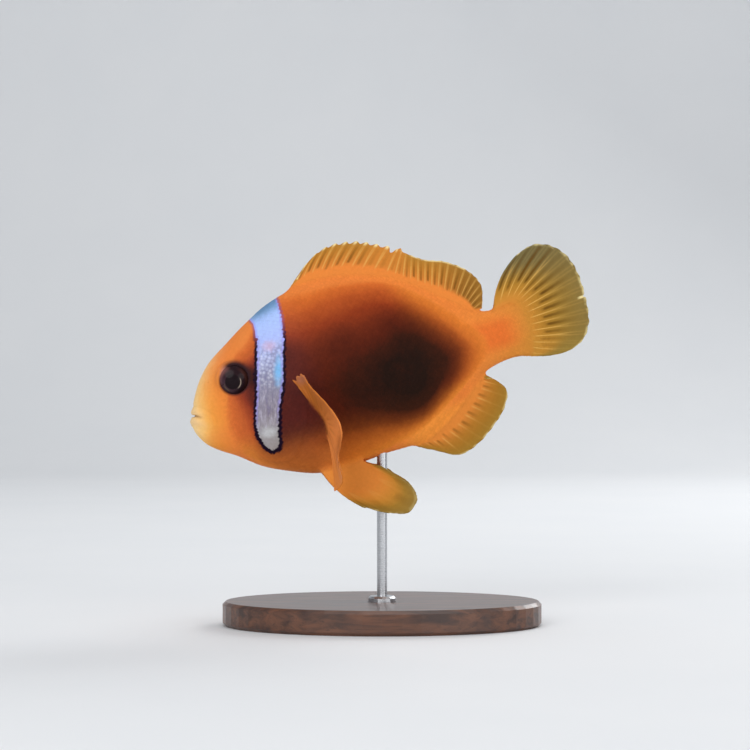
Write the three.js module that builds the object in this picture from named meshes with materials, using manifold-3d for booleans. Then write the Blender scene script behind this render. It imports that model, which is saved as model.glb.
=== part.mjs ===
// A life-size clownfish as a museum shows it: a one-barred anemonefish swimming nose-down, held by a
// short steel rod over a flat oval base. Millimetres, +Z up, origin at the centre of the base's
// underside. The fish itself is drawn level, in a frame of its own with its snout near zero, +X along
// the body to the tail and its left side at -Y, and the whole fish is then pitched and lifted.
import * as THREE from "three";
import { mergeVertices } from "three/addons/utils/BufferGeometryUtils.js";
import Module from "manifold-3d";

const wasm = await Module();
wasm.setup();

// ---- Driving dimensions ----------------------------------------------------------------------------
const PITCH = THREE.MathUtils.degToRad(17); // how far the head points down
const SNOUT = new THREE.Vector3(-46.5, 0, 51); // where the level frame's origin ends up
const GAP = 0.3; // between two parts that meet
const SLIVER = 0.03; // edges that a cut leaves shorter than this are closed up

const BASE = { length: 78, width: 50, height: 6, bevel: 0.8 };
const ROD = { radius: 1.25, top: 47.5, flangeRadius: 3.4, flangeHeight: 1.2 };

// Body stations from the snout to the end of the tail stalk: x, top, bottom, half-width.
const STATIONS = [
  [-0.8, -2.2, -2.2, 0],
  [-0.35, -0.5, -4.2, 1.5],
  [0.6, 1.7, -6.3, 2.5],
  [2, 4.5, -8.2, 3.4],
  [4.5, 8.2, -10.3, 4.5],
  [8, 11.6, -12.7, 5.6],
  [13, 14.6, -16.7, 7.1],
  [19, 18.0, -19.8, 8.3],
  [26, 21.1, -22.4, 9.0],
  [34, 22.7, -23.0, 8.9],
  [43, 22.2, -22.5, 8.3],
  [52, 19.6, -22.2, 7.1],
  [60, 15.1, -18.6, 5.7],
  [67, 9.3, -13.6, 4.3],
  [72, 5.4, -10.5, 3.4],
  [77, 3.6, -9.3, 2.7],
  [81.5, 4.3, -9.2, 2.1],
  [84.2, 3.6, -8.6, 1.4],
  [85, -2.7, -2.7, 0],
];
const SECTION_POWER = 1.15; // above 1 the back and belly are a little sharper than an ellipse
const BODY_ROWS = 40;
const BODY_COLUMNS = 24;

const EYE = { x: 12.7, y: 4.65, z: 5.8, radius: 4.1, depth: 2.6 };

// The head ends on an upright cylinder, and the tail stalk begins at a plane.
const HEAD_END = { x: -6, z: 0.5, radius: 34.5 };
const STALK_START = 72.5;
// The gill cover is an ellipse of the head's wall lying over a flat bed, and the lower jaw is cut off
// along this line.
const GILL_COVER = { x: 21.8, z: -3, halfLength: 7, halfHeight: 11.5, bed: 4.9 };
const JAW_LINE = [
  [-3, 0.1],
  [0.9, 0.05],
  [4.8, -2.6],
  [8.4, -6.6],
  [9, -20],
];

// Fin rays that shape each fin, front to back: x and z of the root, x and z of the tip, and how far
// the ray bows forward of a straight line at its middle. Roots lie inside the body.
const DORSAL_SHAPE = [
  [30.8, 21.7, 34.6, 24.8, 0.2],
  [33.6, 21.9, 39.4, 28.6, 0.4],
  [37.0, 21.9, 43.8, 30.1, 0.5],
  [40.6, 21.6, 48.0, 29.9, 0.5],
  [44.4, 21.2, 52.0, 28.8, 0.4],
  [48.6, 20.1, 55.6, 27.0, 0.3],
  [53.0, 18.2, 59.4, 24.9, 0.2],
  [58.6, 14.9, 61.8, 22.7, 0.1],
  [63.0, 11.6, 65.6, 20.0, 0.1],
  [66.4, 8.8, 70.4, 18.0, 0.1],
  [69.0, 6.6, 74.9, 14.3, 0.1],
  [70.8, 5.2, 77.0, 9.9, 0.2],
  [72.6, 4.1, 75.6, 4.6, 0],
];
const DORSAL = { spines: 10, softRays: 17, split: 0.52, slit: 0.003 }; // split: spiny share of the fin

const ANAL_SHAPE = [
  [49.0, -21.5, 50.8, -23.3, 0],
  [51.4, -20.9, 55.4, -25.9, 0],
  [54.4, -19.8, 60.0, -28.1, 0],
  [57.8, -18.2, 65.0, -26.8, 0],
  [61.4, -15.8, 69.6, -23.9, 0],
  [64.6, -13.4, 73.4, -20.6, 0],
  [67.4, -11.2, 75.7, -16.5, 0],
  [69.4, -9.9, 74.6, -13.4, 0],
  [70.4, -9.2, 71.6, -12.0, 0],
];
const ANAL_RAYS = 15;

const TAIL_SHAPE = [
  [78.0, 3.0, 87.6, 14.6, 1.6],
  [80.6, 3.6, 91.8, 15.8, 0.9],
  [82.4, 3.7, 95.9, 14.4, 0.4],
  [83.4, 3.2, 98.9, 11.2, 0.2],
  [83.9, 2.0, 100.3, 6.8, 0],
  [84.2, 0.2, 100.5, 2.2, 0],
  [84.3, -2.0, 100.2, -2.3, 0],
  [84.2, -4.2, 99.3, -6.6, 0],
  [83.6, -6.1, 96.8, -10.0, 0.1],
  [82.4, -7.6, 92.5, -11.6, 0.3],
  [80.6, -8.7, 87.6, -11.2, 0.3],
];
const TAIL_RAYS = 17;

const PELVIC_SHAPE = [
  [26.2, -21.4, 34.2, -33.2, 1.2],
  [28.0, -21.4, 39.3, -36.1, 0.8],
  [29.6, -21.4, 43.6, -37.4, 0.4],
  [31.2, -21.3, 46.6, -35.4, 0],
  [32.8, -21.2, 46.3, -31.6, 0],
  [34.4, -21.1, 43.2, -27.4, 0.2],
  [36.0, -21.0, 40.4, -24.6, 0.6],
];
const PELVIC_RAYS = 6;
const PELVIC = { rootY: 1.6, splay: 5.2, curl: 1.6 };

// The pectoral fin stands straight out from the body and fans up and down. Per ray: the root's x, z
// and distance from the mid-plane, the angle above the horizontal, the length, and the tip's x.
const PECTORAL_SHAPE = [
  [29.4, -6.3, 8.0, 62, 8.7, 26.5],
  [30.3, -7.3, 7.9, 44.5, 13.4, 28.9],
  [31.0, -8.4, 7.7, 27, 17.0, 30.8],
  [31.4, -9.5, 7.4, 9, 19.0, 32.9],
  [31.6, -10.6, 7.1, -9, 19.2, 34.3],
  [31.6, -11.7, 6.8, -27, 18.0, 32.3],
  [31.3, -12.8, 6.5, -47, 16.2, 30.9],
  [31.0, -13.7, 6.2, -68, 14.4, 28.4],
];
const PECTORAL_RAYS = 18;
const PECTORAL_RIPPLE = 0.55; // how far the spread fin waves to and fro

// Fin thickness: fleshy at the root, thin at the margin, and thicker again along each ray.
const FIN = { margin: 0.5, ray: 0.28, root: 2.3, pairedRoot: 1.5, rows: 3 };

const COLOURS = {
  orange: 0xe08236,
  flank: 0x3a1c12,
  fin: 0xb9822f,
  eye: 0x1b1214,
  wood: 0x4a2d1b,
  steel: 0xb4b6b8,
};

// ---- Helpers ---------------------------------------------------------------------------------------
// A three.js geometry as a manifold-3d solid.
function solid(geometry) {
  const bare = geometry.clone().deleteAttribute("normal").deleteAttribute("uv");
  const merged = mergeVertices(bare, 1e-4);
  const mesh = new wasm.Mesh({
    numProp: 3,
    vertProperties: merged.attributes.position.array,
    triVerts: new Uint32Array(merged.index.array),
  });
  return new wasm.Manifold(mesh);
}

// A manifold-3d solid as a three.js geometry with flat shading.
function geometryOf(made) {
  const { vertProperties, triVerts } = made.simplify(SLIVER).getMesh();
  const indexed = new THREE.BufferGeometry();
  indexed.setAttribute("position", new THREE.BufferAttribute(vertProperties, 3));
  indexed.setIndex(new THREE.BufferAttribute(triVerts, 1));
  const geometry = indexed.toNonIndexed();
  geometry.computeVertexNormals();
  return geometry;
}

function finish(colour, roughness, metalness = 0) {
  return new THREE.MeshStandardMaterial({ color: colour, roughness, metalness });
}

function add(group, name, made, material) {
  const mesh = new THREE.Mesh(geometryOf(made), material);
  mesh.name = name;
  group.add(mesh);
}

// Moves every vertex of a geometry by a function of its place.
function bend(geometry, place) {
  const position = geometry.attributes.position;
  const point = new THREE.Vector3();
  for (let i = 0; i < position.count; i += 1) {
    place(point.fromBufferAttribute(position, i));
    position.setXYZ(i, point.x, point.y, point.z);
  }
  return geometry;
}

// A side-view outline as a prism right through the fish.
function prism(shape, depth = 60) {
  const geometry = new THREE.ExtrudeGeometry(shape, { depth, bevelEnabled: false, curveSegments: 12 });
  return solid(geometry.rotateX(Math.PI / 2).translate(0, depth / 2, 0));
}

// A thin strip along a line of points in the side view.
function stripShape(line, width) {
  const points = line.map(([x, z]) => new THREE.Vector2(x, z));
  const edge = (side) =>
    points.map((point, i) => {
      const before = points[Math.max(i - 1, 0)];
      const after = points[Math.min(i + 1, points.length - 1)];
      const along = after.clone().sub(before).normalize();
      return new THREE.Vector2(-along.y, along.x).multiplyScalar((side * width) / 2).add(point);
    });
  return new THREE.Shape([...edge(1), ...edge(-1).reverse()]);
}

// ---- Body ------------------------------------------------------------------------------------------
const topLine = new THREE.SplineCurve(STATIONS.map(([x, top]) => new THREE.Vector2(x, top)));
const bottomLine = new THREE.SplineCurve(STATIONS.map(([x, , low]) => new THREE.Vector2(x, low)));
const widthLine = new THREE.SplineCurve(STATIONS.map(([x, , , w]) => new THREE.Vector2(x, w)));

// The whole body as a sphere drawn out through the stations, its skin moved outwards by grow.
function bodySolid(grow = 0) {
  const ball = new THREE.SphereGeometry(1, BODY_COLUMNS, BODY_ROWS);
  return solid(
    bend(ball, (point) => {
      const across = Math.hypot(point.x, point.z);
      const share = Math.acos(THREE.MathUtils.clamp(point.y, -1, 1)) / Math.PI;
      const top = topLine.getPoint(share);
      const bottom = bottomLine.getPoint(share);
      const halfWidth = Math.max(widthLine.getPoint(share).y, 0);
      const middle = (top.y + bottom.y) / 2;
      const halfHeight = Math.max((top.y - bottom.y) / 2, 0);
      const side = across > 1e-6 ? point.x / across : 0;
      const up = across > 1e-6 ? point.z / across : 0;
      point.x = top.x - grow * point.y;
      point.y = Math.sign(side) * Math.abs(side) ** SECTION_POWER * (halfWidth + grow * across);
      point.z = middle + up * (halfHeight + grow * across);
    }),
  );
}

function eyeSolid(side, grow = 0) {
  const ball = new THREE.SphereGeometry(1, 18, 9);
  ball.scale(EYE.radius + grow, EYE.depth + grow, EYE.radius + grow);
  return solid(ball.translate(EYE.x, side * EYE.y, EYE.z));
}

// Parts the body with thin cuts and returns its pieces by name.
function bodyPieces(rodSocket) {
  const whole = bodySolid();
  const headCylinder = (radius) =>
    solid(new THREE.CylinderGeometry(radius, radius, 60, 44).translate(HEAD_END.x, 0, HEAD_END.z));
  const behindStalk = (start) =>
    solid(new THREE.BoxGeometry(100, 60, 100).translate(start + 50, 0, 0));

  let head = whole.intersect(headCylinder(HEAD_END.radius - GAP / 2));
  const rear = whole.subtract(headCylinder(HEAD_END.radius + GAP / 2));
  const trunk = rear.subtract(behindStalk(STALK_START - GAP / 2)).subtract(rodSocket);
  const stalk = rear.intersect(behindStalk(STALK_START + GAP / 2));

  // The room of both gill covers: an elliptical prism without its middle slab.
  const coverRoom = (grow) => {
    const { x, z, halfLength, halfHeight, bed } = GILL_COVER;
    const shape = new THREE.Shape();
    shape.absellipse(x, z, halfLength + grow, halfHeight + grow, 0, 2 * Math.PI);
    const slab = new THREE.BoxGeometry(100, 2 * (bed - grow), 100);
    return prism(shape, 24).subtract(solid(slab));
  };
  const covers = head.intersect(coverRoom(-GAP / 2)).decompose();
  head = head.subtract(coverRoom(GAP / 2));
  for (const side of [-1, 1]) head = head.subtract(eyeSolid(side, GAP));

  const [jaw, skull] = head
    .subtract(prism(stripShape(JAW_LINE, GAP)))
    .decompose()
    .sort((a, b) => a.volume() - b.volume());
  const [left, right] = covers.sort((a, b) => a.boundingBox().min[1] - b.boundingBox().min[1]);
  return { head: skull, lower_jaw: jaw, gill_cover_left: left, gill_cover_right: right, trunk, tail_stalk: stalk };
}

// ---- Fins ------------------------------------------------------------------------------------------
// Curves through the same number of points, one per column of a shape's table.
function tracks(shape) {
  return shape[0].map((_, column) => {
    const points = shape.map((ray, i) => new THREE.Vector2(i, ray[column]));
    const curve = new THREE.SplineCurve(points);
    return (share) => curve.getPoint(share).y;
  });
}

// A flat fin's sheet: a point for each share u along its rays and share v out from root to tip.
function flatSheet(shape, sway) {
  const [rootX, rootZ, tipX, tipZ, bow] = tracks(shape);
  return (u, v) => {
    const along = new THREE.Vector2(tipX(u) - rootX(u), tipZ(u) - rootZ(u));
    const forward = new THREE.Vector2(-Math.abs(along.y), along.x * Math.sign(along.y)).normalize();
    const lift = 4 * v * (1 - v) * bow(u);
    const x = rootX(u) + along.x * v + forward.x * lift;
    const z = rootZ(u) + along.y * v + forward.y * lift;
    return new THREE.Vector3(x, sway(u, v), z);
  };
}

function pectoralSheet(side) {
  const [rootX, rootZ, rootY, angle, length, tipX] = tracks(PECTORAL_SHAPE);
  return (u, v) => {
    const slope = THREE.MathUtils.degToRad(angle(u));
    const reach = length(u) * v;
    const ripple = PECTORAL_RIPPLE * Math.sin(5 * Math.PI * u) * v;
    const x = THREE.MathUtils.lerp(rootX(u), tipX(u), v ** 1.3) + ripple;
    const outward = rootY(u) + reach * Math.cos(slope);
    return new THREE.Vector3(x, side * outward, rootZ(u) + reach * Math.sin(slope));
  };
}

function pelvicSheet(side) {
  return flatSheet(PELVIC_SHAPE, (u, v) => {
    const outward = PELVIC.rootY + PELVIC.splay * v * (1 - 0.55 * u) + PELVIC.curl * v * v * (1 - u);
    return side * outward;
  });
}

// A solid fin: a box bent onto the sheet, with a ridge for each ray and a margin that dips between rays.
function finSolid(sheet, { rays, dip, root, from = 0, to = 1 }) {
  const columns = 2 * (rays - 1);
  const slab = new THREE.BoxGeometry(1, 1, 1, columns, FIN.rows, 1);
  const step = 1e-3;
  return solid(
    bend(slab, (point) => {
      const across = point.x + 0.5;
      const onRay = Math.cos(Math.PI * across * (rays - 1)) ** 2;
      const u = THREE.MathUtils.lerp(from, to, across);
      const v = (point.y + 0.5) * (1 - dip * (1 - onRay));
      const nearU = THREE.MathUtils.clamp(u, step, 1 - step);
      const nearV = THREE.MathUtils.clamp(v, step, 1 - step);
      const alongU = sheet(nearU + step, nearV).sub(sheet(nearU - step, nearV));
      const alongV = sheet(nearU, nearV + step).sub(sheet(nearU, nearV - step));
      const normal = alongU.cross(alongV).normalize();
      const flesh = (root - FIN.margin) * Math.max(1 - 1.6 * v, 0) ** 2;
      const thickness = FIN.margin + flesh + FIN.ray * onRay * Math.min(3 * v, 1) * (1.2 - v);
      point.copy(sheet(u, v).addScaledVector(normal, point.z * thickness));
    }),
  );
}

function fins() {
  const ripple = (size, waves) => (u, v) => size * v * Math.sin(waves * Math.PI * u);
  const dorsal = flatSheet(DORSAL_SHAPE, ripple(0.5, 3));
  const anal = flatSheet(ANAL_SHAPE, ripple(0.4, 1.5));
  const tail = flatSheet(TAIL_SHAPE, ripple(0.9, 2.5));
  const { spines, softRays, split, slit } = DORSAL;
  const soft = { dip: 0.03, root: FIN.root };
  const paired = { dip: 0.04, root: FIN.pairedRoot };
  const made = {
    dorsal_fin_spiny: finSolid(dorsal, { ...soft, rays: spines, dip: 0.09, to: split - slit }),
    dorsal_fin_soft: finSolid(dorsal, { ...soft, rays: softRays, from: split + slit }),
    anal_fin: finSolid(anal, { ...soft, rays: ANAL_RAYS }),
    tail_fin: finSolid(tail, { ...soft, rays: TAIL_RAYS }),
  };
  for (const [word, side] of [["left", -1], ["right", 1]]) {
    made[`pectoral_fin_${word}`] = finSolid(pectoralSheet(side), { ...paired, rays: PECTORAL_RAYS });
    made[`pelvic_fin_${word}`] = finSolid(pelvicSheet(side), { ...paired, rays: PELVIC_RAYS, dip: 0.07 });
  }
  const cleared = bodySolid(GAP);
  return Object.fromEntries(Object.entries(made).map(([name, fin]) => [name, largest(fin.subtract(cleared))]));
}

// Of a cut fin's pieces, the one outside the body.
function largest(made) {
  return made.decompose().sort((a, b) => b.volume() - a.volume())[0];
}

// ---- Stand -----------------------------------------------------------------------------------------
function baseSolid() {
  const outline = new THREE.Shape();
  const { length, width, height, bevel } = BASE;
  outline.absellipse(0, 0, length / 2 - bevel, width / 2 - bevel, 0, 2 * Math.PI);
  const plate = new THREE.ExtrudeGeometry(outline, {
    depth: height - 2 * bevel,
    bevelThickness: bevel,
    bevelSize: bevel,
    bevelSegments: 1,
    curveSegments: 26,
  });
  return solid(plate.translate(0, 0, bevel));
}

function rodSolid(grow = 0) {
  const { radius, top, flangeRadius, flangeHeight } = ROD;
  const foot = BASE.height;
  const profile = [
    [0, foot],
    [flangeRadius, foot],
    [flangeRadius, foot + flangeHeight * 0.6],
    [flangeRadius - flangeHeight * 0.4, foot + flangeHeight],
    [radius + grow, foot + flangeHeight],
    [radius + grow, top + grow],
    [0, top + grow],
  ].map(([r, z]) => new THREE.Vector2(r, z));
  return solid(new THREE.LatheGeometry(profile, 20).rotateX(Math.PI / 2));
}

// ---- Assembly --------------------------------------------------------------------------------------
const model = new THREE.Group();
const fish = new THREE.Group();
fish.position.copy(SNOUT);
fish.rotation.y = -PITCH;
fish.updateMatrixWorld(true);
model.add(fish);

const rodInFish = geometryOf(rodSolid(GAP)).applyMatrix4(fish.matrixWorld.clone().invert());
const skinFinish = finish(COLOURS.orange, 0.5);
const flankFinish = finish(COLOURS.flank, 0.5);
for (const [name, piece] of Object.entries(bodyPieces(solid(rodInFish)))) {
  add(fish, name, piece, name === "trunk" ? flankFinish : skinFinish);
}
const finFinish = finish(COLOURS.fin, 0.45);
for (const [name, fin] of Object.entries(fins())) add(fish, name, fin, finFinish);
const eyeFinish = finish(COLOURS.eye, 0.1);
add(fish, "eye_left", eyeSolid(-1), eyeFinish);
add(fish, "eye_right", eyeSolid(1), eyeFinish);

add(model, "stand_base", baseSolid(), finish(COLOURS.wood, 0.45));
add(model, "stand_rod", rodSolid(), finish(COLOURS.steel, 0.3, 1));

export default model;
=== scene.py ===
"""A life-size clownfish on a display stand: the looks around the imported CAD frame.

The fish is drawn level, in millimetres, in a frame of its own: the snout near zero, +X along the
body to the tail, the left side at -Y. to_row() pitches it into the row's frame, in metres.
"""
import itertools
import math

import bpy
import numpy as np
import openvdb
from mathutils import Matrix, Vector
from mathutils.bvhtree import BVHTree


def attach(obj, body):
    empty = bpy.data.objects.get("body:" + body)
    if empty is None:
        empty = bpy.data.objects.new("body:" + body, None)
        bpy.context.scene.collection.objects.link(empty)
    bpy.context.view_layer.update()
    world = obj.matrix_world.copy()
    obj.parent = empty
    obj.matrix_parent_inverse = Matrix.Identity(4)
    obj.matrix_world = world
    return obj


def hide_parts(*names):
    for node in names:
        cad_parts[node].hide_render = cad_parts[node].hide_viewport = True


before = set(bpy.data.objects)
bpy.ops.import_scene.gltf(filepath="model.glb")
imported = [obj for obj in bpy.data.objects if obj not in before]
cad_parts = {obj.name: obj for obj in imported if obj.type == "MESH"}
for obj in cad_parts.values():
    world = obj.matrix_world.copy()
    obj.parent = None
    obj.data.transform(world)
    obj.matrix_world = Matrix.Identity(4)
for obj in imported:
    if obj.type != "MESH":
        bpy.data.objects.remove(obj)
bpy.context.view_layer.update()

# ---- Driving dimensions, in millimetres ----
MM = 0.001
PITCH = math.radians(17)  # how far the head points down
SNOUT = (-46.5, 0, 51)  # where the level frame's origin ends up
VOXEL = 0.2  # the skin's grid
BAND = 1.2  # how far from the skin distances are known
COAT = 0.12  # the scales' depth, by which the skin lies inside the CAD solids
SIDES = (("left", -1), ("right", 1))

# Body stations from the snout to the end of the tail stalk: x, top, bottom, half-width.
STATIONS = [
    (-0.8, -2.2, -2.2, 0), (-0.35, -0.5, -4.2, 1.5), (0.6, 1.7, -6.3, 2.5), (2, 4.5, -8.2, 3.4),
    (4.5, 8.2, -10.3, 4.5), (8, 11.6, -12.7, 5.6), (13, 14.6, -16.7, 7.1), (19, 18, -19.8, 8.3),
    (26, 21.1, -22.4, 9), (34, 22.7, -23, 8.9), (43, 22.2, -22.5, 8.3), (52, 19.6, -22.2, 7.1),
    (60, 15.1, -18.6, 5.7), (67, 9.3, -13.6, 4.3), (72, 5.4, -10.5, 3.4), (77, 3.6, -9.3, 2.7),
    (81.5, 4.3, -9.2, 2.1), (84.2, 3.6, -8.6, 1.4), (85, -2.7, -2.7, 0),
]
SECTION_POWER = 1.15  # above 1 the back and belly are a little sharper than an ellipse

EYE = {"x": 12.7, "y": 4.65, "z": 5.8, "radius": 4.1, "depth": 2.6}
ORBIT = {"x": 12.9, "z": 5.55, "radius": 3.45, "lid": 0.2}  # the opening in the skin
PUPIL = {"x": 12.45, "z": 5.15}

# Rays that shape each fin: x and z of the root, x and z of the tip, and how far it bows forward.
DORSAL_SHAPE = [
    (30.8, 21.7, 34.6, 24.8, 0.2), (33.6, 21.9, 39.4, 28.6, 0.4), (37, 21.9, 43.8, 30.1, 0.5),
    (40.6, 21.6, 48, 29.9, 0.5), (44.4, 21.2, 52, 28.8, 0.4), (48.6, 20.1, 55.6, 27, 0.3),
    (53, 18.2, 59.4, 24.9, 0.2), (58.6, 14.9, 61.8, 22.7, 0.1), (63, 11.6, 65.6, 20, 0.1),
    (66.4, 8.8, 70.4, 18, 0.1), (69, 6.6, 74.9, 14.3, 0.1), (70.8, 5.2, 77, 9.9, 0.2),
    (72.6, 4.1, 75.6, 4.6, 0),
]
ANAL_SHAPE = [
    (49, -21.5, 50.8, -23.3, 0), (51.4, -20.9, 55.4, -25.9, 0), (54.4, -19.8, 60, -28.1, 0),
    (57.8, -18.2, 65, -26.8, 0), (61.4, -15.8, 69.6, -23.9, 0), (64.6, -13.4, 73.4, -20.6, 0),
    (67.4, -11.2, 75.7, -16.5, 0), (69.4, -9.9, 74.6, -13.4, 0), (70.4, -9.2, 71.6, -12, 0),
]
TAIL_SHAPE = [
    (78, 3, 87.6, 14.6, 1.6), (80.6, 3.6, 91.8, 15.8, 0.9), (82.4, 3.7, 95.9, 14.4, 0.4),
    (83.4, 3.2, 98.9, 11.2, 0.2), (83.9, 2, 100.3, 6.8, 0), (84.2, 0.2, 100.5, 2.2, 0),
    (84.3, -2, 100.2, -2.3, 0), (84.2, -4.2, 99.3, -6.6, 0), (83.6, -6.1, 96.8, -10, 0.1),
    (82.4, -7.6, 92.5, -11.6, 0.3), (80.6, -8.7, 87.6, -11.2, 0.3),
]
PELVIC_SHAPE = [
    (26.2, -21.4, 34.2, -33.2, 1.2), (28, -21.4, 39.3, -36.1, 0.8), (29.6, -21.4, 43.6, -37.4, 0.4),
    (31.2, -21.3, 46.6, -35.4, 0), (32.8, -21.2, 46.3, -31.6, 0), (34.4, -21.1, 43.2, -27.4, 0.2),
    (36, -21, 40.4, -24.6, 0.6),
]
PELVIC = {"root_y": 1.6, "splay": 5.2, "curl": 1.6}
# The pectoral fin: the root's x, z and distance from the mid-plane, the angle above the
# horizontal, the length, and the tip's x.
PECTORAL_SHAPE = [
    (29.4, -6.3, 8, 62, 8.7, 26.5), (30.3, -7.3, 7.9, 44.5, 13.4, 28.9),
    (31, -8.4, 7.7, 27, 17, 30.8), (31.4, -9.5, 7.4, 9, 19, 32.9),
    (31.6, -10.6, 7.1, -9, 19.2, 34.3), (31.6, -11.7, 6.8, -27, 18, 32.3),
    (31.3, -12.8, 6.5, -47, 16.2, 30.9), (31, -13.7, 6.2, -68, 14.4, 28.4),
]
PECTORAL_RIPPLE = 0.55

# ---- Curves and small sums ----
def spline(table):
    """The uniform Catmull-Rom curve through a table's rows, as a function of the share along it."""
    rows = np.asarray(table, float)
    last = len(rows) - 1

    def at(share):
        place = np.clip(np.asarray(share, float), 0, 1) * last
        index = np.minimum(place.astype(int), last - 1)
        weight = (place - index)[..., None]
        before, start = rows[np.maximum(index - 1, 0)], rows[index]
        end, after = rows[index + 1], rows[np.minimum(index + 2, last)]
        leave, arrive = (end - before) / 2, (after - start) / 2
        cubic = (2 * start - 2 * end + leave + arrive) * weight**3
        square = (3 * end - 3 * start - 2 * leave - arrive) * weight**2
        return cubic + square + leave * weight + start

    return at


def smooth(low, high, value):
    """0 below low, 1 above high, and an easy step between."""
    t = np.clip((value - low) / (high - low), 0, 1)
    return t * t * (3 - 2 * t)


def lerp(a, b, t):
    return a + (b - a) * t


def unit(vectors):
    length = np.linalg.norm(vectors, axis=-1, keepdims=True)
    return vectors / np.maximum(length, 1e-9)


def dot(a, b):
    return (a * b).sum(-1)


def bell(gap, width):
    """1 where there is no gap, and nearly 0 from two widths on."""
    return np.exp(-((gap / width) ** 2))


def line_distance(x, z, line):
    """Distance in the side view from points to a chain of points, and the share along it."""
    best = np.full(np.shape(x), 1e9)
    share = np.zeros(np.shape(x))
    points = np.asarray(line, float)
    for i, ((ax, az), (bx, bz)) in enumerate(zip(points[:-1], points[1:])):
        dx, dz = bx - ax, bz - az
        t = np.clip(((x - ax) * dx + (z - az) * dz) / (dx * dx + dz * dz), 0, 1)
        gap = np.hypot(x - ax - t * dx, z - az - t * dz)
        nearer = gap < best
        best = np.where(nearer, gap, best)
        share = np.where(nearer, (i + t) / (len(points) - 1), share)
    return best, share


def inside_distance(x, z, outline):
    """Distance in the side view to a closed outline, positive inside it."""
    points = np.asarray(outline, float)
    closed = np.vstack([points, points[:1]])
    gap, _ = line_distance(x, z, closed)
    inside = np.zeros(np.shape(x), bool)
    for (ax, az), (bx, bz) in zip(closed[:-1], closed[1:]):
        if az != bz:
            crosses = (az > z) != (bz > z)
            inside ^= crosses & (x < ax + (z - az) / (bz - az) * (bx - ax))
    return np.where(inside, gap, -gap)


def round_outline(points, count=90):
    """A closed outline through a few points, rounded by a closed Catmull-Rom curve."""
    rows = np.asarray(points, float)
    ring = np.vstack([rows[-2:], rows, rows[:3]])
    curve = spline(ring)
    return curve(np.linspace(2, 2 + len(rows), count, endpoint=False) / (len(ring) - 1))


def circle(count):
    """Bearings all round, in radians."""
    return np.linspace(0, 2 * np.pi, count, endpoint=False)


def to_row(points):
    """Points from the level frame, in millimetres, to the row's frame, in metres."""
    x, y, z = np.moveaxis(np.asarray(points, float), -1, 0)
    c, s = math.cos(PITCH), math.sin(PITCH)
    moved = np.stack([SNOUT[0] + x * c - z * s, SNOUT[1] + y, SNOUT[2] + x * s + z * c], -1)
    return moved * MM


# ---- Body ----
BODY_LINE = spline(STATIONS)(np.linspace(0, 1, 3000))


def profile(x, line=BODY_LINE):
    """Top, bottom and half-width of the body at x."""
    return tuple(np.interp(x, line[:, 0], line[:, column]) for column in (1, 2, 3))


def body_mesh(grow, rows=240, columns=168):
    """The whole body as a closed mesh: points and quads, with its ends as rings of no size."""
    share, turn = np.linspace(0, 1, rows + 1)[:, None], circle(columns)
    x, top, bottom, half = np.moveaxis(spline(STATIONS)(share[:, 0]), -1, 0)[..., None]
    polar = share * np.pi
    swell = grow * np.sin(polar)
    side, up = np.cos(turn), np.sin(turn)
    y = np.sign(side) * np.abs(side) ** SECTION_POWER * (np.maximum(half, 0) + swell)
    z = (top + bottom) / 2 + up * (np.maximum((top - bottom) / 2, 0) + swell)
    points = np.stack([x - grow * np.cos(polar) + 0 * z, y, z], -1)
    return points.reshape(-1, 3), ring_quads(rows + 1, columns)


def ring_quads(rings, columns):
    """The quads between rings of points, each ring closed on itself."""
    ring = np.arange(rings - 1)[:, None] * columns
    here = np.arange(columns)
    there = (here + 1) % columns
    quads = np.stack([ring + here, ring + there, ring + columns + there, ring + columns + here], -1)
    return quads.reshape(-1, 4)


# ---- Fins ----
def flat_sheet(shape, sway):
    """A fin nearly in the mid-plane: a point for each share u along it and v out from its root."""
    track = spline(shape)

    def sheet(u, v):
        root_x, root_z, tip_x, tip_z, bow = np.moveaxis(track(u), -1, 0)
        run, climb = tip_x - root_x, tip_z - root_z
        length = np.hypot(run, climb)
        lift = 4 * v * (1 - v) * bow / length
        x = root_x + run * v - np.abs(climb) * lift
        z = root_z + climb * v + run * np.sign(climb) * lift
        return np.stack([x, sway(u, v) + 0 * x, z], -1)

    return sheet


def ripple(size, waves):
    return lambda u, v: size * v * np.sin(waves * np.pi * u)


def pectoral_sheet(side):
    track = spline(PECTORAL_SHAPE)

    def sheet(u, v):
        root_x, root_z, root_y, angle, length, tip_x = np.moveaxis(track(u), -1, 0)
        slope, reach = np.radians(angle), length * v
        wave = PECTORAL_RIPPLE * np.sin(5 * np.pi * u) * v
        x = lerp(root_x, tip_x, np.maximum(v, 0) ** 1.3) + wave
        y, z = side * (root_y + reach * np.cos(slope)), root_z + reach * np.sin(slope)
        return np.stack([x, y, z], -1)

    return sheet


def pelvic_sheet(side):
    def sway(u, v):
        spread = PELVIC["splay"] * v * (1 - 0.55 * u) + PELVIC["curl"] * v * v * (1 - u)
        return side * (PELVIC["root_y"] + spread)

    return flat_sheet(PELVIC_SHAPE, sway)


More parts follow.
